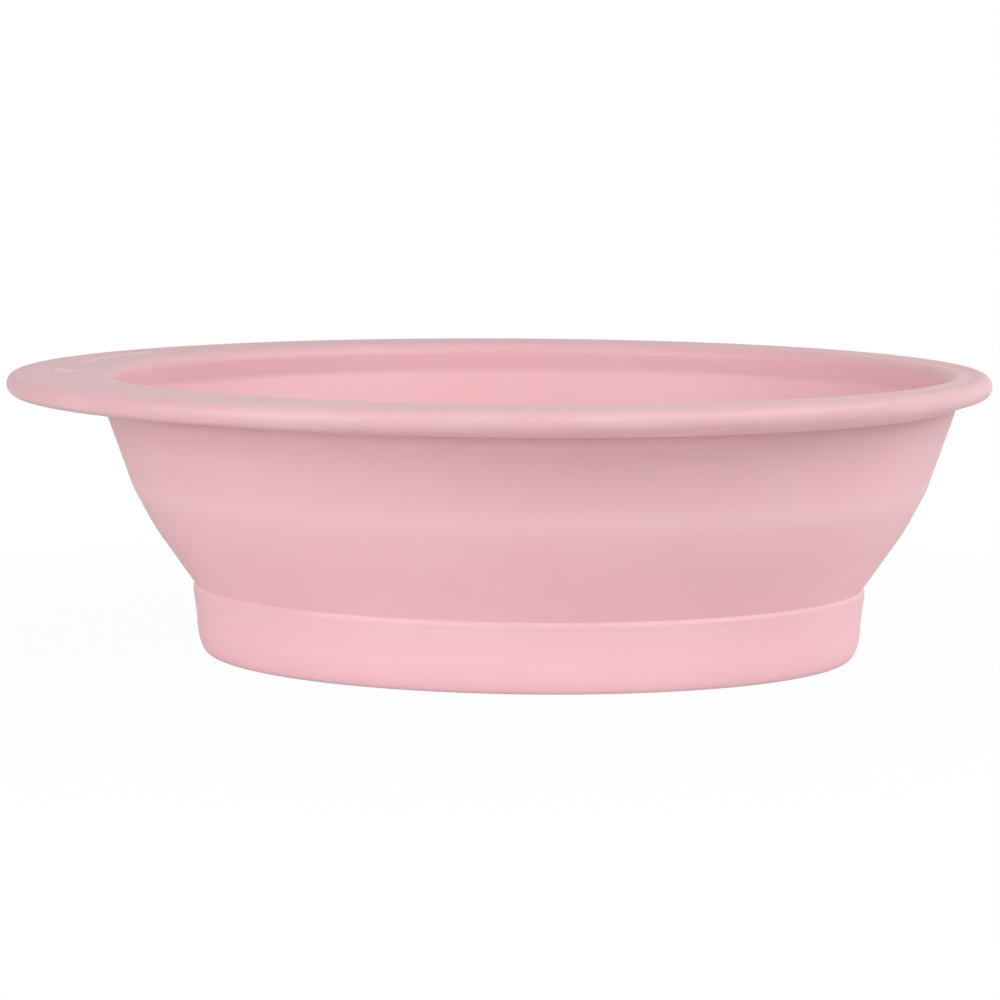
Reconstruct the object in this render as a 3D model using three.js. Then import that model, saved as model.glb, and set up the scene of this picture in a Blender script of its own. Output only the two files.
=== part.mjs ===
// Collapsible oval pet bathtub, open. Millimetres, +Z up, +X along the length, tab end at -X.
// The origin lies on the floor under the middle of the rim's outline.
import * as THREE from 'three';

// ---- driving dimensions -------------------------------------------------------------------
const openingLength = 382;      // inside the rim, along X
const openingWidth = 311;       // inside the rim, along Y
const totalHeight = 130;        // floor to the top of the rim
const noseWidth = 20;           // rim width at the plain end
const tabWidth = 48;            // rim width at the tab end, where the hand goes
const sideWidth = 38;           // rim width along the two sides
const rimThickness = 14;        // at the wall
const rimEdgeThickness = 10;    // at the outer edge, which is a full round
const lipRadius = 3;            // rounding of the rim's inner edge
const skin = 3;                 // soft skin over the stiff rim core
const wall = 3.5;               // thickness of the soft walls
const hingeWall = 2;            // the same wall where it is thinned to fold
const hingeHalf = 9;            // half height of the rounded crease
const lowerHingeHeight = 5;     // height of the thinned ring on top of the base cup
const wallOutset = 4.5;         // the upper wall's top stands this far outside the opening
const creaseInset = 12;         // the crease lies this far inside the opening
const creaseHeight = 68.5;
const baseInset = 36;           // top edge of the base cup, inside the opening
const baseHeight = 32.5;
const footInset = 46;           // where the base's rounding meets the flat bottom
const baseDraft = 1;            // the base wall leans in by this much down to its rounding
const baseRound = 15;           // height of the rounded bottom edge
const plateThickness = 2.5;     // stiff plate in the bottom
const matThickness = 2.5;       // soft floor over it
const footHeight = 0.4;         // the foot ring stands this far out of the bottom
const footWidth = 9;
const footSetBack = 2;          // from the edge of the flat bottom to the foot ring
const footGroove = 1.6;         // depth of the groove that holds the foot ring
const edgeBreak = 1;            // bevel on the edges of the foot ring and the floor mat
const gap = 0.3;                // between pieces that are fitted together
const segments = 60;            // facets round the oval

// ---- sizes that follow --------------------------------------------------------------------
const rimLength = openingLength + noseWidth + tabWidth;
const rimWidth = openingWidth + 2 * sideWidth;
const basinX = (tabWidth - noseWidth) / 2;
const rimTop = totalHeight;
const rimBottom = totalHeight - rimThickness;
const rimEdgeRadius = rimEdgeThickness / 2;
const rimSplit = totalHeight - rimEdgeRadius;
const cupBottom = footHeight;
const plateBottom = cupBottom + wall;
const matBottom = plateBottom + plateThickness;
const matTop = matBottom + matThickness;
const channelSlope = rimEdgeRadius - skin;   // the channel's outer corner follows the round edge

// ---- ovals --------------------------------------------------------------------------------
// An oval is {a, b, x, z}: half length, half width, centre along X, and height.

// Oval of the opening, moved outwards by `out` (inwards when negative).
function basinOval(out, z) {
  return { a: openingLength / 2 + out, b: openingWidth / 2 + out, x: basinX, z };
}

// Oval of the rim's outer edge, moved inwards by `inward`.
function rimOval(inward, z) {
  return { a: rimLength / 2 - inward, b: rimWidth / 2 - inward, x: 0, z };
}

// Point in the middle of a solid disc.
function middle(z) {
  return { a: 0, b: 0, x: basinX, z };
}

// Solid made by joining a list of ovals in order. A ring's list is closed on its first oval.
// A disc's list starts and ends in the middle.
function ovalSolid(name, ovals, material) {
  const isDisc = ovals[0].a === 0;
  const loop = isDisc ? ovals : [...ovals, ovals[0]];
  const profile = loop.map((oval) => new THREE.Vector2(oval.a, oval.z));
  const geometry = new THREE.LatheGeometry(profile, segments);
  const position = geometry.attributes.position;
  for (let i = 0; i <= segments; i += 1) {
    const angle = (2 * Math.PI * (i % segments)) / segments;
    loop.forEach((oval, j) => {
      const x = oval.x + oval.a * Math.sin(angle);
      const y = -oval.b * Math.cos(angle);
      position.setXYZ(i * loop.length + j, x, y, oval.z);
    });
  }
  geometry.computeVertexNormals();
  const mesh = new THREE.Mesh(geometry, material);
  mesh.name = name;
  return mesh;
}

// Quarter round from angle `from` to `to` in degrees, as [outward, up] offsets.
function arc(radius, from, to, steps) {
  const points = [];
  for (let k = 0; k <= steps; k += 1) {
    const angle = THREE.MathUtils.degToRad(from + ((to - from) * k) / steps);
    points.push([radius * Math.cos(angle), radius * Math.sin(angle)]);
  }
  return points;
}

// ---- materials ----------------------------------------------------------------------------
const softPink = new THREE.MeshStandardMaterial({ color: 0xefbcc3, roughness: 0.55, metalness: 0 });
const hingePink = new THREE.MeshStandardMaterial({ color: 0xf0c0c6, roughness: 0.5, metalness: 0 });
const stiffWhite = new THREE.MeshStandardMaterial({ color: 0xe9e4e2, roughness: 0.4, metalness: 0 });
const gripPink = new THREE.MeshStandardMaterial({ color: 0xd99aa4, roughness: 0.8, metalness: 0 });

// ---- rim ----------------------------------------------------------------------------------
// The top skin is the upper half of the rim, with a channel under it for the stiff core.
function rimTopSkin() {
  const split = rimSplit + gap / 2;
  const outer = arc(rimEdgeRadius, 0, 90, 4).map(([out, up]) => (
    rimOval(rimEdgeRadius - out, rimTop - rimEdgeRadius + up)
  ));
  const inner = arc(lipRadius, 90, 180, 3).map(([out, up]) => (
    basinOval(lipRadius + out, rimTop - lipRadius + up)
  ));
  const channel = [
    basinOval(0, split),
    basinOval(skin, split),
    basinOval(skin, rimTop - skin),
    rimOval(skin, rimTop - skin),
    rimOval(skin, split),
    rimOval(0, split),
  ];
  return ovalSolid('rim_top_skin', [...outer, ...inner, ...channel], softPink);
}

// The under skin closes the rim from below. Its underside rises from the wall to the outer edge.
function rimUnderSkin() {
  const split = rimSplit - gap / 2;
  const edgeBottom = rimTop - rimEdgeThickness;
  const outer = arc(rimEdgeRadius, -90, 0, 4).map(([out, up]) => (
    rimOval(rimEdgeRadius - out, edgeBottom + rimEdgeRadius - gap / 2 + up)
  ));
  const channel = [
    rimOval(skin, split),
    rimOval(skin + channelSlope, edgeBottom + skin),
    basinOval(wallOutset, rimBottom + skin),
    basinOval(skin, rimBottom + skin),
    basinOval(skin, split),
    basinOval(0, split),
    basinOval(0, rimBottom),
    basinOval(wallOutset, rimBottom),
  ];
  return ovalSolid('rim_under_skin', [...outer, ...channel], softPink);
}

// Stiff ring that keeps the rim and its tab flat.
function rimCore() {
  const inside = skin + gap;
  return ovalSolid('rim_core', [
    rimOval(inside + channelSlope, rimTop - rimEdgeThickness + inside),
    rimOval(inside, rimTop - rimEdgeRadius),
    rimOval(inside, rimTop - inside),
    basinOval(inside, rimTop - inside),
    basinOval(inside, rimBottom + inside),
    basinOval(wallOutset, rimBottom + inside),
  ], stiffWhite);
}

// ---- walls --------------------------------------------------------------------------------
// Outside of the folding walls: how far out of the opening each one is at height z.
const upperLean = (wallOutset + creaseInset) / (rimBottom - creaseHeight);
const foldLean = (baseInset - creaseInset) / (creaseHeight - baseHeight);

function upperOutside(z) {
  return -creaseInset + upperLean * (z - creaseHeight);
}

function foldOutside(z) {
  return -creaseInset - foldLean * (creaseHeight - z);
}

// Thickness measured level, so that the wall is `wall` thick square to its surface.
const upperLevelWall = wall * Math.hypot(1, upperLean);
const foldLevelWall = wall * Math.hypot(1, foldLean);

function upperWall() {
  const top = rimBottom - gap;
  const bottom = creaseHeight + hingeHalf;
  return ovalSolid('upper_wall', [
    basinOval(upperOutside(bottom), bottom),
    basinOval(upperOutside(top), top),
    basinOval(upperOutside(top) - upperLevelWall, top),
    basinOval(upperOutside(bottom) - upperLevelWall, bottom),
  ], softPink);
}

// The crease is rounded outside and thinned from inside, so that it bends.
function upperHinge() {
  const top = creaseHeight + hingeHalf - gap;
  const bottom = creaseHeight - hingeHalf + gap;
  const round = ((foldLean - upperLean) * hingeHalf) / 4;
  return ovalSolid('upper_hinge', [
    basinOval(foldOutside(bottom), bottom),
    basinOval(-creaseInset - round, creaseHeight),
    basinOval(upperOutside(top), top),
    basinOval(upperOutside(top) - upperLevelWall, top),
    basinOval(-creaseInset - round - hingeWall, creaseHeight),
    basinOval(foldOutside(bottom) - foldLevelWall, bottom),
  ], hingePink);
}

function foldWall() {
  const top = creaseHeight - hingeHalf;
  const bottom = baseHeight + lowerHingeHeight;
  return ovalSolid('fold_wall', [
    basinOval(foldOutside(bottom), bottom),
    basinOval(foldOutside(top), top),
    basinOval(foldOutside(top) - foldLevelWall, top),
    basinOval(foldOutside(bottom) - foldLevelWall, bottom),
  ], softPink);
}

// Thinned ring where the fold wall turns over the top of the base cup.
function lowerHinge() {
  const top = baseHeight + lowerHingeHeight - gap;
  const waist = (foldLevelWall - hingeWall) / 2;
  const half = (top + baseHeight) / 2;
  return ovalSolid('lower_hinge', [
    basinOval(-baseInset, baseHeight),
    basinOval(foldOutside(half) - waist, half),
    basinOval(foldOutside(top), top),
    basinOval(foldOutside(top) - foldLevelWall, top),
    basinOval(foldOutside(half) - foldLevelWall + waist, half),
    basinOval(-baseInset - wall, baseHeight),
  ], hingePink);
}

// ---- base ---------------------------------------------------------------------------------
const footOut = -footInset - footWidth / 2 - footSetBack;   // middle of the foot ring's band

// Cup wall, its rounded bottom edge and the bottom, which has a groove for the foot ring.
function baseCup() {
  const top = baseHeight - gap;
  const edgeOut = -baseInset - baseDraft;
  const roundWidth = edgeOut + footInset;
  const groove = footWidth / 2 + gap;
  const outside = arc(1, -90, 0, 5).map(([out, up]) => (
    basinOval(-footInset + roundWidth * out, cupBottom + baseRound * (1 + up))
  ));
  const inside = arc(1, 0, -90, 3).map(([out, up]) => (
    basinOval(
      -footInset - wall + roundWidth * out,
      plateBottom + (baseRound - wall) * (1 + up),
    )
  ));
  return ovalSolid('base_cup', [
    middle(cupBottom),
    basinOval(footOut - groove, cupBottom),
    basinOval(footOut - groove, cupBottom + footGroove),
    basinOval(footOut + groove, cupBottom + footGroove),
    basinOval(footOut + groove, cupBottom),
    ...outside,
    basinOval(-baseInset, top),
    basinOval(-baseInset - wall, top),
    ...inside,
    middle(plateBottom),
  ], softPink);
}

// Stiff oval plate that keeps the bottom flat.
function basePlate() {
  const out = -footInset - wall - gap;
  return ovalSolid('base_plate', [
    middle(plateBottom + gap),
    basinOval(out, plateBottom + gap),
    basinOval(out, matBottom),
    middle(matBottom),
  ], stiffWhite);
}

// Soft floor inside the tub, over the plate.
function floorMat() {
  const out = -footInset - wall - gap;
  return ovalSolid('floor_mat', [
    middle(matBottom + gap),
    basinOval(out, matBottom + gap),
    basinOval(out, matTop - edgeBreak),
    basinOval(out - edgeBreak, matTop),
    middle(matTop),
  ], softPink);
}

// Anti-slip ring under the bottom: the tub stands on it.
function footRing() {
  const half = footWidth / 2;
  return ovalSolid('foot_ring', [
    basinOval(footOut + half - edgeBreak, 0),
    basinOval(footOut + half, edgeBreak),
    basinOval(footOut + half, cupBottom + footGroove - gap),
    basinOval(footOut - half, cupBottom + footGroove - gap),
    basinOval(footOut - half, edgeBreak),
    basinOval(footOut - half + edgeBreak, 0),
  ], gripPink);
}

// ---- assembly -----------------------------------------------------------------------------
const base = new THREE.Group();
base.add(baseCup(), basePlate(), floorMat(), footRing(), lowerHinge());

const fold = new THREE.Group();
fold.add(foldWall());

const rim = new THREE.Group();
rim.add(rimTopSkin(), rimCore(), rimUnderSkin(), upperWall(), upperHinge());

const tub = new THREE.Group();
tub.add(base, fold, rim);

export default tub;
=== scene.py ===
# Collapsible oval pet bathtub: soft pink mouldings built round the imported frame, in metres, +Z up.
import math

import bmesh
import bpy
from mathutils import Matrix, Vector


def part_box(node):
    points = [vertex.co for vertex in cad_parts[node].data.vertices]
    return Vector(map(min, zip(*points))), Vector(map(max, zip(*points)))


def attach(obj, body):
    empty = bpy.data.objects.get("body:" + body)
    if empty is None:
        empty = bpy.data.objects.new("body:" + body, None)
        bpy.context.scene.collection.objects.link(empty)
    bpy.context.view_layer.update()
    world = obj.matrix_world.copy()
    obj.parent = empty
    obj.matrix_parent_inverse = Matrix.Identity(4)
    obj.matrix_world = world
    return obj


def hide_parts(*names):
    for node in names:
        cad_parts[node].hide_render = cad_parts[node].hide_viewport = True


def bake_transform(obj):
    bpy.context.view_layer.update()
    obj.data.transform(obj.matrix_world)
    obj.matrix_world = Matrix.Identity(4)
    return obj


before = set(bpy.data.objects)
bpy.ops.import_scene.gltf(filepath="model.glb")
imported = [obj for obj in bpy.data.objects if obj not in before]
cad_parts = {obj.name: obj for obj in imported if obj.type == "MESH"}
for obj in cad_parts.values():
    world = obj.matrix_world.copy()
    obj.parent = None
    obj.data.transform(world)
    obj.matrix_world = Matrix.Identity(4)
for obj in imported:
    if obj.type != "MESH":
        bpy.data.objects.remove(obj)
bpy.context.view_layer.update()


# ---- Floor, studio and camera ---------------------------------------------------------------
# A small pale table in a pale room, lit by one low softbox and four higher ones. The tub stands
# on it with its hand tab to the left, turned a little away from the viewer.
world = bpy.data.worlds.new("studio")
bpy.context.scene.world = world
world.use_nodes = True
tree = world.node_tree
tree.nodes.clear()
world_out = tree.nodes.new("ShaderNodeOutputWorld")
seen = tree.nodes.new("ShaderNodeBackground")
surround = tree.nodes.new("ShaderNodeBackground")
pick = tree.nodes.new("ShaderNodeMixShader")
path = tree.nodes.new("ShaderNodeLightPath")
place = tree.nodes.new("ShaderNodeTexCoord")
tree.links.new(path.outputs["Is Camera Ray"], pick.inputs["Fac"])
tree.links.new(surround.outputs["Background"], pick.inputs[1])
tree.links.new(seen.outputs["Background"], pick.inputs[2])
tree.links.new(pick.outputs["Shader"], world_out.inputs["Surface"])
seen.inputs["Color"].default_value = (1.0, 1.0, 1.0, 1)
side_glows = (
    ((0, 0, 1), 0.10),      # a pale ceiling
    ((0, 1, 0), 1.00),      # the pale wall behind, which greys the flat of the rim
    ((1, 0, 0), 0.62),      # the open side to the right
)
brightness = None
for direction, strength in side_glows:
    facing = tree.nodes.new("ShaderNodeVectorMath")
    facing.operation = "DOT_PRODUCT"
    facing.inputs[1].default_value = direction
    tree.links.new(place.outputs["Generated"], facing.inputs[0])
    lit = tree.nodes.new("ShaderNodeMath")
    lit.operation = "MAXIMUM"
    lit.inputs[1].default_value = 0.0
    tree.links.new(facing.outputs["Value"], lit.inputs[0])
    add = tree.nodes.new("ShaderNodeMath")
    add.operation = "MULTIPLY_ADD"
    add.inputs[1].default_value = strength
    tree.links.new(lit.outputs["Value"], add.inputs[0])
    add.inputs[2].default_value = 0.0
    if brightness:
        tree.links.new(brightness, add.inputs[2])
    brightness = add.outputs["Value"]
tree.links.new(brightness, surround.inputs["Strength"])

floor_size = 1.3
floor_mesh = bpy.data.meshes.new("studio_floor")
half = floor_size / 2
floor_mesh.from_pydata(
    [(-half, -half, 0), (half, -half, 0), (half, half, 0), (-half, half, 0)], [], [(0, 1, 2, 3)]
)
floor = bpy.data.objects.new("studio_floor", floor_mesh)
bpy.context.collection.objects.link(floor)
# The table is small and very pale. The camera sees it as white as the surround, apart from a faint
# shadow close to the tub that fades out well inside the table's edge.
floor_seen_white = 0.96
shadow_from, shadow_to = 0.20, 0.55
floor_colour = (0.85, 0.85, 0.85, 1)
floor_paint = bpy.data.materials.new("studio_white")
floor_paint.use_nodes = True
tree = floor_paint.node_tree
floor_shader = tree.nodes["Principled BSDF"]
floor_shader.inputs["Base Color"].default_value = floor_colour
floor_shader.inputs["Roughness"].default_value = 0.9
floor_shader.inputs["Specular IOR Level"].default_value = 0.1
white = tree.nodes.new("ShaderNodeEmission")
spot = tree.nodes.new("ShaderNodeTexCoord")
from_tub = tree.nodes.new("ShaderNodeVectorMath")
from_tub.operation = "LENGTH"
tree.links.new(spot.outputs["Object"], from_tub.inputs[0])
fade = tree.nodes.new("ShaderNodeMapRange")
fade.interpolation_type = "SMOOTHSTEP"
fade.inputs["From Min"].default_value = shadow_from
fade.inputs["From Max"].default_value = shadow_to
fade.inputs["To Min"].default_value = floor_seen_white
fade.inputs["To Max"].default_value = 1.0
tree.links.new(from_tub.outputs["Value"], fade.inputs["Value"])
share = tree.nodes.new("ShaderNodeMath")
share.operation = "MULTIPLY"
path = tree.nodes.new("ShaderNodeLightPath")
pick = tree.nodes.new("ShaderNodeMixShader")
tree.links.new(path.outputs["Is Camera Ray"], share.inputs[0])
tree.links.new(fade.outputs["Result"], share.inputs[1])
tree.links.new(share.outputs["Value"], pick.inputs["Fac"])
tree.links.new(floor_shader.outputs["BSDF"], pick.inputs[1])
tree.links.new(white.outputs["Emission"], pick.inputs[2])
tree.links.new(pick.outputs["Shader"], tree.nodes["Material Output"].inputs["Surface"])
floor_mesh.materials.append(floor_paint)

softbox_size = (1.2, 1.0)
softbox_distance = 2.3
lit_middle = Vector((0, 0, 0.07))       # the softboxes all face the middle of the tub


def softbox(name, turn, rise, power):
    """A soft light turned this far to the right of straight ahead, and raised, in degrees."""
    data = bpy.data.lights.new(name, "AREA")
    data.shape = "RECTANGLE"
    data.size, data.size_y = softbox_size
    data.energy = power
    lamp = bpy.data.objects.new(name, data)
    bpy.context.collection.objects.link(lamp)
    turn, rise = math.radians(turn), math.radians(rise)
    away = Vector((
        math.cos(rise) * math.sin(turn),
        -math.cos(rise) * math.cos(turn),
        math.sin(rise),
    ))
    lamp.location = lit_middle + softbox_distance * away
    lamp.rotation_euler = away.to_track_quat("Z", "Y").to_euler()


softboxes = (               # turned to the right and raised, in degrees, and power in watts
    ("low_left", -40, 14, 23.7),
    ("far_left", -60, 35, 4.6),
    ("high_left", -25, 35, 7.2),
    ("high_right", 45, 35, 14.3),
    ("far_right", 80, 35, 15.7),
)
for name, turn, rise, power in softboxes:
    softbox(name, turn, rise, power)

camera_data = bpy.data.cameras.new("camera")
camera = bpy.data.objects.new("camera", camera_data)
bpy.context.collection.objects.link(camera)
camera_data.lens = 120.2
camera_data.sensor_width = 36.0
view_middle = 0.014         # the camera is turned about this point of the tub's length
camera_turn = 0.1419        # the tub's length is turned this far from the picture plane
camera_distance = 1.524
camera_height = 0.2617
camera_pan = -0.0081
camera_pitch = 0.125
camera.location = (
    view_middle + camera_distance * math.sin(camera_turn),
    -camera_distance * math.cos(camera_turn),
    camera_height,
)
heading = camera_turn - camera_pan
aim = Vector((
    -math.sin(heading) * math.cos(camera_pitch),
    math.cos(heading) * math.cos(camera_pitch),
    -math.sin(camera_pitch),
))
camera.rotation_euler = aim.to_track_quat("-Z", "Y").to_euler()
bpy.context.scene.camera = camera
bpy.context.scene.view_settings.view_transform = "Standard"


# ---- Rim ------------------------------------------------------------------------------------
# Soft skin moulded over a stiff ring. It is a flat flange, narrow at the nose, wider along the
# sides and widest at the hand tab, with a full round outer edge and a rounded inner lip.
rim_low, rim_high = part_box("rim_top_skin")
rim_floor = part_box("rim_under_skin")[0][2]
wall_low, wall_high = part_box("upper_wall")
rim_top = rim_high[2]
rim_half = ((rim_high[0] - rim_low[0]) / 2, (rim_high[1] - rim_low[1]) / 2)
rim_x = (rim_high[0] + rim_low[0]) / 2
basin_x = (wall_high[0] + wall_low[0]) / 2
wall_outset = 0.0044        # the wall's top stands this far outside the opening
opening_half = (
    (wall_high[0] - wall_low[0]) / 2 - wall_outset,
    (wall_high[1] - wall_low[1]) / 2 - wall_outset,
)
round_steps = 256           # points round each oval
sharp_edge = 28             # edges that turn by more than this many degrees stay crisp


def basin_oval(out, z):
    """Oval of the opening, moved outwards: half length, half width, centre along X, height."""
    return (opening_half[0] + out, opening_half[1] + out, basin_x, z)


def rim_oval(inward, z):
    """Oval of the rim's outer edge, moved inwards."""
    return (rim_half[0] - inward, rim_half[1] - inward, rim_x, z)


def between(first, second, share):
    """The oval part of the way from one oval to another."""
    return tuple(p + (q - p) * share for p, q in zip(first, second))


def arc(radius_out, radius_up, start, end, steps):
    """Points along a round from angle start to end, in degrees, as (outward, up)."""
    angles = [math.radians(start + (end - start) * k / steps) for k in range(steps + 1)]
    return [(radius_out * math.cos(a), radius_up * math.sin(a)) for a in angles]


def oval_solid(name, ovals, closed, lift=None):
    """Joins ovals into one smooth skin. closed joins the last oval to the first, and otherwise
    the two ends are filled. lift(angle, oval) may move a point up or down."""
    vertices = []
    for oval in ovals:
        a, b, x, z = oval
        for k in range(round_steps):
            angle = 2 * math.pi * k / round_steps
            rise = lift(angle, oval) if lift else 0.0
            vertices.append((x + a * math.cos(angle), b * math.sin(angle), z + rise))
    faces = []
    count = len(ovals)
    for j in range(count if closed else count - 1):
        low, high = j * round_steps, ((j + 1) % count) * round_steps
        for k in range(round_steps):
            after = (k + 1) % round_steps
            faces.append((low + k, low + after, high + after, high + k))
    if not closed:
        faces.append(tuple(reversed(range(round_steps))))
        last = (count - 1) * round_steps
        faces.append(tuple(range(last, last + round_steps)))
    mesh = bpy.data.meshes.new(name)
    mesh.from_pydata(vertices, [], faces)
    mesh.validate()
    facing = bmesh.new()
    facing.from_mesh(mesh)
    bmesh.ops.recalc_face_normals(facing, faces=facing.faces)
    facing.to_mesh(mesh)
    facing.free()
    mesh.shade_smooth()
    mesh.set_sharp_from_angle(angle=math.radians(sharp_edge))
    piece = bpy.data.objects.new(name, mesh)
    bpy.context.collection.objects.link(piece)
    return piece


edge_thickness = 0.0095     # at the outer edge; the underside slopes down to the wall
edge_round = edge_thickness / 2
lip_round = 0.0055
rim_crown = 0.0006          # the flat of the rim dips by this much mid-way
flat_steps, under_steps = 10, 8
lip_steps, edge_steps = 10, 20

inner_flat = basin_oval(lip_round, rim_top)
outer_flat = rim_oval(edge_round, rim_top)
lip_height = rim_top - lip_round - rim_floor
rim_profile = [basin_oval(0, rim_floor + lip_height * share) for share in (0, 0.3, 0.6)]
rim_profile += [
    basin_oval(lip_round + out, rim_top - lip_round + up)
    for out, up in arc(lip_round, lip_round, 180, 90, lip_steps)
]
for step in range(1, flat_steps):
    share = step / flat_steps
    oval = between(inner_flat, outer_flat, share)
    rim_profile.append((*oval[:3], rim_top - rim_crown * math.sin(math.pi * share) ** 2))
rim_profile += [
    rim_oval(edge_round - out, rim_top - edge_round + up)
    for out, up in arc(edge_round, edge_round, 90, -90, edge_steps)
]
under_outer = rim_oval(edge_round, rim_top - edge_thickness)
under_inner = basin_oval(wall_outset, rim_floor)
rim_profile += [
    between(under_outer, under_inner, step / under_steps) for step in range(1, under_steps + 1)
]
rim_skin = oval_solid("rim_skin", rim_profile, closed=True)
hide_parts("rim_top_skin", "rim_under_skin")
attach(rim_skin, "rim")


# Soft pink elastomer, straight from the mould: even colour with faint cloudy drifts, a fine
# satin grain, and a thin pale bloom where wet hands have held it and water has dried.
drift_scale, bloom_scale, pit_scale = 9.0, 26.0, 420.0
bloom_colour = (0.93, 0.78, 0.80, 1)
satin_roughness = (0.40, 0.52)
pit_depth = -0.35           # small pits go this far under the grain
fine_grain, fine_relief = 1500.0, 0.35
grain_depth = 0.0001
glow_depth = 0.004          # light goes this far into the soft skin


def socket(group, name, direction, kind, value=None):
    made = group.interface.new_socket(name=name, in_out=direction, socket_type=kind)
    if value is not None:
        made.default_value = value


def noise(tree, coordinates, scale, detail, roughness=0.5):
    node = tree.nodes.new("ShaderNodeTexNoise")
    node.inputs["Scale"].default_value = scale
    node.inputs["Detail"].default_value = detail
    node.inputs["Roughness"].default_value = roughness
    tree.links.new(coordinates, node.inputs["Vector"])
    return node.outputs["Fac"]


def remap(tree, value, low, high, to_low=0.0, to_high=1.0):
    node = tree.nodes.new("ShaderNodeMapRange")
    for name, number in (("From Min", low), ("From Max", high), ("To Min", to_low), ("To Max", to_high)):
        node.inputs[name].default_value = number
    tree.links.new(value, node.inputs["Value"])
    return node.outputs["Result"]


def blend_colour(tree, share, first, second):
    """Mixes two colours, each a socket or a tuple."""
    node = tree.nodes.new("ShaderNodeMix")
    node.data_type = "RGBA"
    for name, colour in (("A", first), ("B", second)):
        target = next(s for s in node.inputs if s.name == name and s.type == "RGBA")
        if isinstance(colour, tuple):
            target.default_value = colour
        else:
            tree.links.new(colour, target)
    tree.links.new(share, node.inputs["Factor"])
    return next(s for s in node.outputs if s.type == "RGBA")


moulded = bpy.data.node_groups.new("moulded_elastomer", "ShaderNodeTree")
socket(moulded, "Colour", "INPUT", "NodeSocketColor")
socket(moulded, "Deep Colour", "INPUT", "NodeSocketColor")
socket(moulded, "Bloom Colour", "INPUT", "NodeSocketColor", bloom_colour)
socket(moulded, "Bloom", "INPUT", "NodeSocketFloat")
socket(moulded, "Grain Size", "INPUT", "NodeSocketFloat")
socket(moulded, "Colour", "OUTPUT", "NodeSocketColor")
socket(moulded, "Roughness", "OUTPUT", "NodeSocketFloat")
socket(moulded, "Height", "OUTPUT", "NodeSocketFloat")
group_in = moulded.nodes.new("NodeGroupInput")
group_out = moulded.nodes.new("NodeGroupOutput")
surface = moulded.nodes.new("ShaderNodeTexCoord").outputs["Object"]
drift = remap(moulded, noise(moulded, surface, drift_scale, 3.0), 0.35, 0.65)
pits = remap(moulded, noise(moulded, surface, pit_scale, 2.0), 0.62, 0.74)
cloudy = blend_colour(moulded, drift, group_in.outputs["Colour"], group_in.outputs["Deep Colour"])
dried = noise(moulded, surface, bloom_scale, 5.0, 0.62)
bloom_share = moulded.nodes.new("ShaderNodeMath")
bloom_share.operation = "MULTIPLY"
moulded.links.new(remap(moulded, dried, 0.45, 0.75), bloom_share.inputs[0])
moulded.links.new(group_in.outputs["Bloom"], bloom_share.inputs[1])
bloomed = blend_colour(
    moulded, bloom_share.outputs["Value"], cloudy, group_in.outputs["Bloom Colour"]
)
moulded.links.new(bloomed, group_out.inputs["Colour"])
satin = remap(moulded, dried, 0.3, 0.7, *satin_roughness)
moulded.links.new(satin, group_out.inputs["Roughness"])
grain = moulded.nodes.new("ShaderNodeTexNoise")
grain.inputs["Detail"].default_value = 2.0
moulded.links.new(surface, grain.inputs["Vector"])
moulded.links.new(group_in.outputs["Grain Size"], grain.inputs["Scale"])
coarse = moulded.nodes.new("ShaderNodeMath")
coarse.operation = "MULTIPLY_ADD"
moulded.links.new(pits, coarse.inputs[0])
coarse.inputs[1].default_value = pit_depth
moulded.links.new(grain.outputs["Fac"], coarse.inputs[2])
moulded.links.new(coarse.outputs["Value"], group_out.inputs["Height"])


def elastomer(name, colour, deep, bloom, grain_size=fine_grain, relief=fine_relief, softness=0.18):
    """A soft moulded finish built on the shared group."""
    material = bpy.data.materials.new(name)
    material.use_nodes = True
    nodes = material.node_tree
    shader = nodes.nodes["Principled BSDF"]
    shader.inputs["IOR"].default_value = 1.43
    shader.inputs["Subsurface Weight"].default_value = softness
    shader.inputs["Subsurface Radius"].default_value = (1.0, 0.35, 0.30)
    shader.inputs["Subsurface Scale"].default_value = glow_depth
    finish = nodes.nodes.new("ShaderNodeGroup")
    finish.node_tree = moulded
    finish.inputs["Colour"].default_value = (*colour, 1)
    finish.inputs["Deep Colour"].default_value = (*deep, 1)
    finish.inputs["Bloom"].default_value = bloom
    finish.inputs["Grain Size"].default_value = grain_size
    bump = nodes.nodes.new("ShaderNodeBump")
    bump.inputs["Strength"].default_value = relief
    bump.inputs["Distance"].default_value = grain_depth
    nodes.links.new(finish.outputs["Colour"], shader.inputs["Base Color"])
    nodes.links.new(finish.outputs["Roughness"], shader.inputs["Roughness"])
    nodes.links.new(finish.outputs["Height"], bump.inputs["Height"])
    nodes.links.new(bump.outputs["Normal"], shader.inputs["Normal"])
    return material


pink = (0.850, 0.530, 0.566)
deep_pink = (0.835, 0.508, 0.545)
# The rim is coloured a shade deeper than the wall: painted shade, for the darker look that light gives
# the rim's lip and flat.
shaded_rim_pink = (0.799, 0.498, 0.532)
shaded_deep_rim_pink = (0.785, 0.478, 0.512)
rim_finish = elastomer("soft_pink_rim", shaded_rim_pink, shaded_deep_rim_pink, bloom=0.16)
rim_skin.data.materials.append(rim_finish)


# ---- Stiff core of the rim ------------------------------------------------------------------
# A plain injection-moulded ring that the soft skin is moulded over. It keeps the rim and tab flat.
natural_white = (0.82, 0.78, 0.76)
flow_scale, flow_depth = 30.0, 0.0002
flow_darkening = 0.93
waxy_roughness = (0.32, 0.44)


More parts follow.
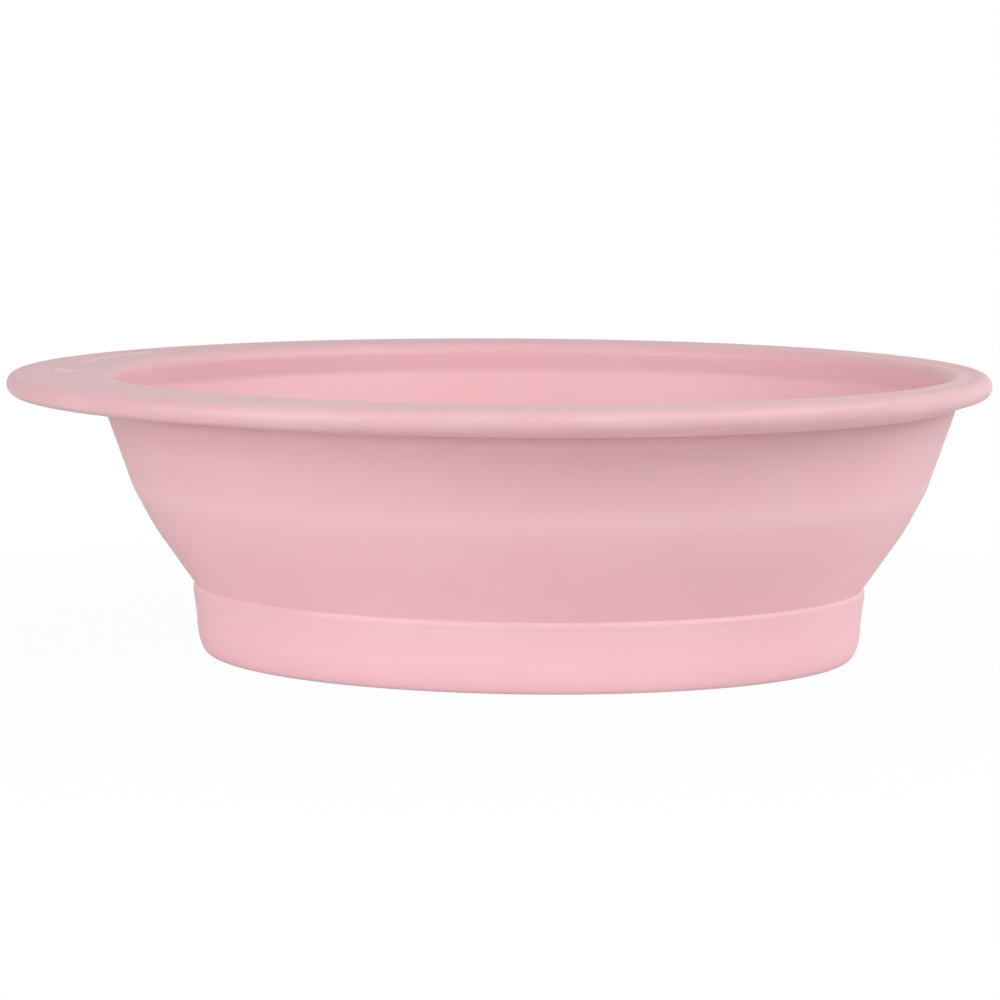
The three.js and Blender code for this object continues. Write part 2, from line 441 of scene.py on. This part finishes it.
def stiff_plastic(name, colour, relief):
    """Natural polypropylene: slightly waxy, with faint flow lines from the mould."""
    material = bpy.data.materials.new(name)
    material.use_nodes = True
    nodes = material.node_tree
    shader = nodes.nodes["Principled BSDF"]
    shader.inputs["IOR"].default_value = 1.49
    surface = nodes.nodes.new("ShaderNodeTexCoord").outputs["Object"]
    flow = nodes.nodes.new("ShaderNodeTexNoise")
    flow.inputs["Scale"].default_value = flow_scale
    flow.inputs["Detail"].default_value = 4.0
    flow.inputs["Distortion"].default_value = 1.5
    nodes.links.new(surface, flow.inputs["Vector"])
    tone = remap(nodes, flow.outputs["Fac"], 0.3, 0.7)
    darker = tuple(channel * flow_darkening for channel in colour)
    nodes.links.new(blend_colour(nodes, tone, (*colour, 1), (*darker, 1)), shader.inputs["Base Color"])
    waxy = remap(nodes, flow.outputs["Fac"], 0.3, 0.7, *waxy_roughness)
    nodes.links.new(waxy, shader.inputs["Roughness"])
    bump = nodes.nodes.new("ShaderNodeBump")
    bump.inputs["Strength"].default_value = relief
    bump.inputs["Distance"].default_value = flow_depth
    nodes.links.new(flow.outputs["Fac"], bump.inputs["Height"])
    nodes.links.new(bump.outputs["Normal"], shader.inputs["Normal"])
    return material


core_finish = stiff_plastic("natural_polypropylene", natural_white, relief=0.3)
rim_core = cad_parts["rim_core"]
rim_core.data.materials.clear()
rim_core.data.materials.append(core_finish)


# ---- Raised marks on the tab ----------------------------------------------------------------
# A plain paw and a row of short dashes, moulded proud of the rim so that wet hands find the tab.
mark_height = 0.0005
mark_sink = 0.0003          # each mark starts this far under the surface
mark_rings, mark_spokes = 5, 40
mark_top = 0.02             # the flat left at the top of each dome, as a share of its size
dome_spread, dome_rise = 0.7, 0.6       # powers that give each dome steep sides and a flatter top
paw_share, paw_angle = 0.54, 0.16       # across the flat of the rim, and round from the tab's middle
pad_offset, pad_size, pad_squareness = 0.0050, (0.0062, 0.0088), 2.4
toe_offset, toe_ring, toe_size = 0.0038, 0.0134, (0.0040, 0.0029)
toe_angles = (-58, -20, 20, 58)         # from the line outwards, in degrees
dash_size, dash_squareness = (0.0042, 0.0018), 4.0
dash_count, first_dash, dash_step = 6, 7.5, 3.6     # angles from the tab's middle, in degrees
dash_share, dash_drift = 0.54, 0.025                # the row drifts outwards along the rim
dash_ahead = 0.01           # each dash points at the place this much further round
mark_pink = (0.830, 0.570, 0.600)
deep_mark_pink = (0.820, 0.555, 0.585)


def rim_surface(share, angle):
    """Point on the flat of the rim: share 0 at the inner edge and 1 at the outer edge."""
    a, b, x, z = between(inner_flat, outer_flat, share)
    dip = rim_crown * math.sin(math.pi * share) ** 2
    return Vector((x + a * math.cos(angle), b * math.sin(angle), z - dip))


def raised_pad(vertices, faces, centre, size, turn, power=2.0):
    """A low dome on an oval or, with a higher power, a squarer outline."""
    rings, spokes = mark_rings, mark_spokes
    start = len(vertices)
    for ring in range(rings + 1):
        lean = math.pi / 2 * ring / rings
        spread = max(math.cos(lean) ** dome_spread, mark_top)
        rise = -mark_sink + (mark_height + mark_sink) * math.sin(lean) ** dome_rise
        for spoke in range(spokes):
            angle = 2 * math.pi * spoke / spokes
            c, s = math.cos(angle), math.sin(angle)
            x = size[0] * math.copysign(abs(c) ** (2 / power), c) * spread
            y = size[1] * math.copysign(abs(s) ** (2 / power), s) * spread
            vertices.append((
                centre[0] + x * math.cos(turn) - y * math.sin(turn),
                centre[1] + x * math.sin(turn) + y * math.cos(turn),
                centre[2] + rise,
            ))
    for ring in range(rings):
        for spoke in range(spokes):
            after = (spoke + 1) % spokes
            low, high = start + ring * spokes, start + (ring + 1) * spokes
            faces.append((low + spoke, low + after, high + after, high + spoke))
    faces.append(tuple(reversed(range(start, start + spokes))))
    faces.append(tuple(range(start + rings * spokes, start + (rings + 1) * spokes)))


mark_vertices, mark_faces = [], []
paw = rim_surface(paw_share, math.pi + paw_angle)
pad = paw + Vector((pad_offset, 0, 0))
raised_pad(mark_vertices, mark_faces, pad, pad_size, 0, pad_squareness)
for toe_angle in toe_angles:
    turn = math.radians(180 + toe_angle)
    toe = paw + Vector((toe_offset + toe_ring * math.cos(turn), toe_ring * math.sin(turn), 0))
    raised_pad(mark_vertices, mark_faces, toe, toe_size, turn)
for dash in range(dash_count):
    angle = math.pi - math.radians(first_dash + dash_step * dash)
    share = dash_share + dash_drift * dash
    here = rim_surface(share, angle)
    ahead = rim_surface(share, angle + dash_ahead)
    turn = math.atan2(ahead[1] - here[1], ahead[0] - here[0])
    raised_pad(mark_vertices, mark_faces, here, dash_size, turn, dash_squareness)
mark_mesh = bpy.data.meshes.new("tab_marks")
mark_mesh.from_pydata(mark_vertices, [], mark_faces)
mark_mesh.validate()
mark_mesh.update()
mark_mesh.shade_smooth()
tab_marks = bpy.data.objects.new("tab_marks", mark_mesh)
bpy.context.collection.objects.link(tab_marks)
mark_finish = elastomer("soft_pink_marks", mark_pink, deep_mark_pink, bloom=0.2)
tab_marks.data.materials.append(mark_finish)
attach(tab_marks, "rim")


# ---- Folding side wall ----------------------------------------------------------------------
# One soft wall from the rim to the base cup. It is steep above a rounded crease and flatter
# below it, and it is thinner at the crease and at the cup, where it turns inside out to fold.
hinge_low, hinge_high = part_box("upper_hinge")
cup_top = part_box("lower_hinge")[0][2]
crease_height = (hinge_low[2] + hinge_high[2]) / 2
crease_inset = 0.012        # the wall stands this far inside the opening at the crease
base_inset = 0.036          # and this far inside it at the cup
wall_thickness = 0.0035
hinge_thickness = 0.0022
band_top = 0.0785           # the upper wall ends here, and a rounded crease band begins
band_foot = 0.0605          # the fold wall proper starts here
band_lean = 0.50            # the crease band runs outwards this much for its height
band_top_round = 0.0070     # the band's two ends are rounded over this far above and below
band_foot_round = 0.0065
bead_rise, bead_half = 0.0003, 0.0045       # a soft bead runs round the top of the band
bead_middle = 0.0775
crease_highlight_half = 0.0060     # half height of the band of the wall painted paler as a highlight, over the bead
# The paler pink of the painted highlight on the crease band.
crease_highlight_pink = (0.866, 0.562, 0.602)
crease_thin_half = 0.0055   # half heights of the two thinned bands, at the crease and above the cup
cup_thin_half = 0.0040
cup_thin_rise = 0.0030
cup_thin_share = 0.8
thicker_height = 0.025      # the inner face thickens over this height, up to the rim
ledge = 0.00035             # and ends this far inside the rim's opening
wall_steps, foot_steps = 110, 10
neck_height = 0.004         # the wall draws in by neck_depth where it meets the rim
neck_depth = 0.0010
wall_tuck = 0.0015          # the wall runs this far up into the rim
foot_drop = 0.0032          # the wall's foot reaches this far down over the cup's edge
cup_shoulder = 0.0008       # the wall's foot swells out by this much to meet the cup
shoulder_low = 0.0020       # and does so over this height, below and above the cup's top
shoulder_high = 0.0004
wall_foot_inset = base_inset + cup_shoulder
wall_foot = cup_top - foot_drop
wall_top = rim_floor + wall_tuck

upper_lean = (wall_outset + crease_inset) / (rim_floor - crease_height)
band_top_out = -crease_inset + upper_lean * (band_top - crease_height)
band_foot_out = band_top_out - band_lean * (band_top - band_foot)
fold_lean = (wall_foot_inset + band_foot_out) / (band_foot - cup_top)


def ease(t):
    """Smooth step from 0 to 1."""
    t = min(max(t, 0.0), 1.0)
    return t * t * (3 - 2 * t)


def corner(z, at, out, lean_below, lean_above, half):
    """Outline near a corner at height `at`, rounded over `half` above and below it."""
    t = min(max((z - at) / half, -1), 1)
    rounding = (lean_below - lean_above) * half * (1 - abs(t)) ** 2 / 4
    return out + (lean_above if z > at else lean_below) * (z - at) - rounding


def wall_line(z):
    """Plain run of the wall at height z, as a distance out of the opening."""
    if z > (band_top + band_foot) / 2:
        return corner(z, band_top, band_top_out, band_lean, upper_lean, band_top_round)
    if z > cup_top:
        return corner(z, band_foot, band_foot_out, fold_lean, band_lean, band_foot_round)
    return -wall_foot_inset


def wall_outside(z):
    """The outer face: the plain run with its bead, its neck under the rim and its swollen foot."""
    bead = bead_rise * math.exp(-(((z - bead_middle) / bead_half) ** 2))
    neck = neck_depth * max(0, 1 - (rim_floor - z) / neck_height) ** 2
    swell = cup_shoulder * (1 - ease((z - cup_top + shoulder_low) / (shoulder_low + shoulder_high)))
    return wall_line(z) + bead - neck + swell


def wall_depth(z):
    """Wall thickness at height z, measured level."""
    from_crease = z - crease_height
    lean = upper_lean if from_crease > 0 else fold_lean
    at_crease = math.exp(-((from_crease / crease_thin_half) ** 2))
    at_cup = cup_thin_share * math.exp(-(((z - cup_top - cup_thin_rise) / cup_thin_half) ** 2))
    thinning = (wall_thickness - hinge_thickness) * max(at_crease, at_cup)
    return (wall_thickness - thinning) * math.hypot(1, lean)


def wall_inside(z):
    """The inner face, which thickens upwards to a fine ledge just inside the rim."""
    spare = wall_outset - wall_depth(rim_floor) + ledge
    return wall_line(z) - wall_depth(z) - spare * max(0, 1 - (rim_floor - z) / thicker_height)


wall_heights = [wall_foot + (cup_top - wall_foot) * k / foot_steps for k in range(foot_steps)]
wall_heights += [cup_top + (rim_floor - cup_top) * k / wall_steps for k in range(wall_steps + 1)]
wall_profile = [basin_oval(wall_outside(z), z) for z in wall_heights]
wall_profile += [basin_oval(wall_outside(rim_floor), wall_top), basin_oval(-ledge, wall_top)]
wall_profile += [basin_oval(wall_inside(z), z) for z in reversed(wall_heights)]
side_wall = oval_solid("side_wall", wall_profile, closed=True)
# Each point's share of the painted highlight on the crease band.
crease_highlight = side_wall.data.attributes.new("crease_highlight", "FLOAT", "POINT")
for point, share in zip(side_wall.data.vertices, crease_highlight.data):
    share.value = math.exp(-(((point.co.z - bead_middle) / crease_highlight_half) ** 2))

# The band over the bead at the top of the crease is painted a little paler: a painted highlight, for the
# sheen that the rounded crease catches.
wall_finish = elastomer("soft_pink_wall", pink, deep_pink, bloom=0.10)
shader = wall_finish.node_tree.nodes["Principled BSDF"]
crease_highlight_place = wall_finish.node_tree.nodes.new("ShaderNodeAttribute")
crease_highlight_place.attribute_name = "crease_highlight"
painted_highlight_colour = blend_colour(
    wall_finish.node_tree,
    crease_highlight_place.outputs["Fac"],
    shader.inputs["Base Color"].links[0].from_socket,
    (*crease_highlight_pink, 1),
)
wall_finish.node_tree.links.new(painted_highlight_colour, shader.inputs["Base Color"])
side_wall.data.materials.append(wall_finish)
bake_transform(side_wall)
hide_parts("upper_wall", "upper_hinge", "fold_wall", "lower_hinge")


# ---- Base cup -------------------------------------------------------------------------------
# The shallow, firmer cup that the wall folds down over, moulded in one with it. Its side is nearly
# upright and rolls under to a flat bottom, which has a groove for the foot ring.
mat_low, mat_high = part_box("floor_mat")
ring_low, ring_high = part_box("foot_ring")
cup_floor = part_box("base_cup")[0][2]
foot_inset = 0.0427         # the flat bottom ends this far inside the opening
cup_draft = 0.0016          # the side draws in by this much from its top down to its round
cup_round_height = 0.016    # and rolls under over this height
cup_round_steps, inner_round_steps = 16, 12
cup_pink = (0.852, 0.533, 0.580)
deep_cup_pink = (0.842, 0.518, 0.564)
fit_gap = 0.0003            # left between the cup and the pieces set into it
cup_edge_extra = 0.0006     # the cup's top edge is this much thicker than the wall that stands on it
bottom_middle = -0.9 * opening_half[1]      # the bottom's flats are filled in from here to the middle
inner_floor = mat_low[2] - fit_gap
cup_edge = -base_inset - cup_draft
round_width = cup_edge + foot_inset
ring_outer = (ring_high[0] - ring_low[0]) / 2 - opening_half[0]
ring_width = 0.009
ring_middle = ring_outer - ring_width / 2
groove_half = ring_width / 2 + fit_gap
groove_depth = 0.0016

cup_profile = [
    basin_oval(bottom_middle, cup_floor),
    basin_oval(ring_middle - groove_half, cup_floor),
    basin_oval(ring_middle - groove_half, cup_floor + groove_depth),
    basin_oval(ring_middle + groove_half, cup_floor + groove_depth),
    basin_oval(ring_middle + groove_half, cup_floor),
]
cup_profile += [
    basin_oval(-foot_inset + out, cup_floor + cup_round_height + up)
    for out, up in arc(round_width, cup_round_height, -90, 0, cup_round_steps)
]
side_from, side_to = cup_floor + cup_round_height, wall_foot
cup_profile += [
    basin_oval(cup_edge + cup_draft * share, side_from + (side_to - side_from) * share)
    for share in (0.25, 0.5, 0.75)
]
cup_profile += [
    basin_oval(-base_inset, wall_foot),
    basin_oval(-base_inset - wall_thickness - cup_edge_extra, wall_foot),
]
inner_round = cup_round_height - wall_thickness
cup_profile += [
    basin_oval(-foot_inset - wall_thickness + out, inner_floor + inner_round + up)
    for out, up in arc(round_width, inner_round, 0, -90, inner_round_steps)
]
cup_profile += [basin_oval(bottom_middle, inner_floor)]
base_cup = oval_solid("base_cup_shell", cup_profile, closed=False)
cup_finish = elastomer("soft_pink_cup", cup_pink, deep_cup_pink, bloom=0.08)
base_cup.data.materials.append(cup_finish)
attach(base_cup, "base")
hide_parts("base_cup")


# ---- Floor of the tub -----------------------------------------------------------------------
# A stiff plate keeps the bottom flat. The soft floor over it has a rounded edge and a stippled
# face with a shallow bead round it, so that paws don't slip.
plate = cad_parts["base_plate"]
plate.data.materials.clear()
plate.data.materials.append(core_finish)

mat_half = ((mat_high[0] - mat_low[0]) / 2, (mat_high[1] - mat_low[1]) / 2)
mat_round, mat_round_steps = 0.0011, 5
mat_bead_inset, mat_bead_width, mat_bead_rise = 0.010, 0.0022, 0.0007
mat_bead_steps = 8
mat_middle = 0.97           # the mat's flats are filled in from here to the middle
stipple_grain = 380.0


def mat_oval(inward, z):
    """Oval of the mat's edge, moved inwards."""
    return (mat_half[0] - inward, mat_half[1] - inward, basin_x, z)


mat_face = mat_high[2] - mat_bead_rise
mat_profile = [mat_oval(mat_half[1] * mat_middle, mat_low[2]), mat_oval(0, mat_low[2])]
mat_profile += [
    mat_oval(mat_round - out, mat_face - mat_round + up)
    for out, up in arc(mat_round, mat_round, 0, 90, mat_round_steps)
]
for step in range(mat_bead_steps + 1):
    across = -1 + 2 * step / mat_bead_steps
    mat_profile.append(mat_oval(
        mat_bead_inset + mat_bead_width * across,
        mat_face + mat_bead_rise * math.cos(math.pi / 2 * across) ** 2,
    ))
mat_profile += [
    mat_oval(mat_half[1] * share, mat_face) for share in (0.3, 0.5, 0.7, 0.85, mat_middle)
]
floor_mat = oval_solid("soft_floor", mat_profile, closed=False)
mat_finish = elastomer(
    "soft_pink_floor", pink, deep_pink, bloom=0.12, grain_size=stipple_grain, relief=1.0
)
floor_mat.data.materials.append(mat_finish)
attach(floor_mat, "base")
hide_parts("floor_mat")


# ---- Foot ring ------------------------------------------------------------------------------
# A ring of grippier rubber pressed into a groove under the bottom. Fine notches across it let
# water out from under the tub.
notch_count = 72
notch_depth = 0.0005
ring_round, ring_round_steps = 0.0012, 6
ring_half = ring_width / 2
ring_top = ring_high[2]
grip_pink = (0.70, 0.38, 0.43)
deep_grip_pink = (0.66, 0.35, 0.40)
coarse_grain = 900.0


def notched(angle, oval):
    """Lifts the ring's lowest points in short notches round the oval."""
    near_floor = max(0.0, 1 - (oval[3] - ring_low[2]) / ring_round)
    return notch_depth * near_floor * max(0.0, math.cos(notch_count * angle)) ** 4


ring_profile = [basin_oval(ring_middle + ring_half, ring_top)]
ring_profile += [basin_oval(ring_middle - ring_half, ring_top)]
ring_profile += [
    basin_oval(ring_middle - ring_half + ring_round + out, ring_low[2] + ring_round + up)
    for out, up in arc(ring_round, ring_round, 180, 270, ring_round_steps)
]
ring_profile += [basin_oval(ring_middle + ring_half * s, ring_low[2]) for s in (-0.4, 0.0, 0.4)]
ring_profile += [
    basin_oval(ring_middle + ring_half - ring_round + out, ring_low[2] + ring_round + up)
    for out, up in arc(ring_round, ring_round, 270, 360, ring_round_steps)
]
foot_ring = oval_solid("grip_ring", ring_profile, closed=True, lift=notched)
grip_finish = elastomer(
    "grip_rubber", grip_pink, deep_grip_pink,
    bloom=0.05, grain_size=coarse_grain, relief=0.6, softness=0.05,
)
foot_ring.data.materials.append(grip_finish)
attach(foot_ring, "base")
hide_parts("foot_ring")
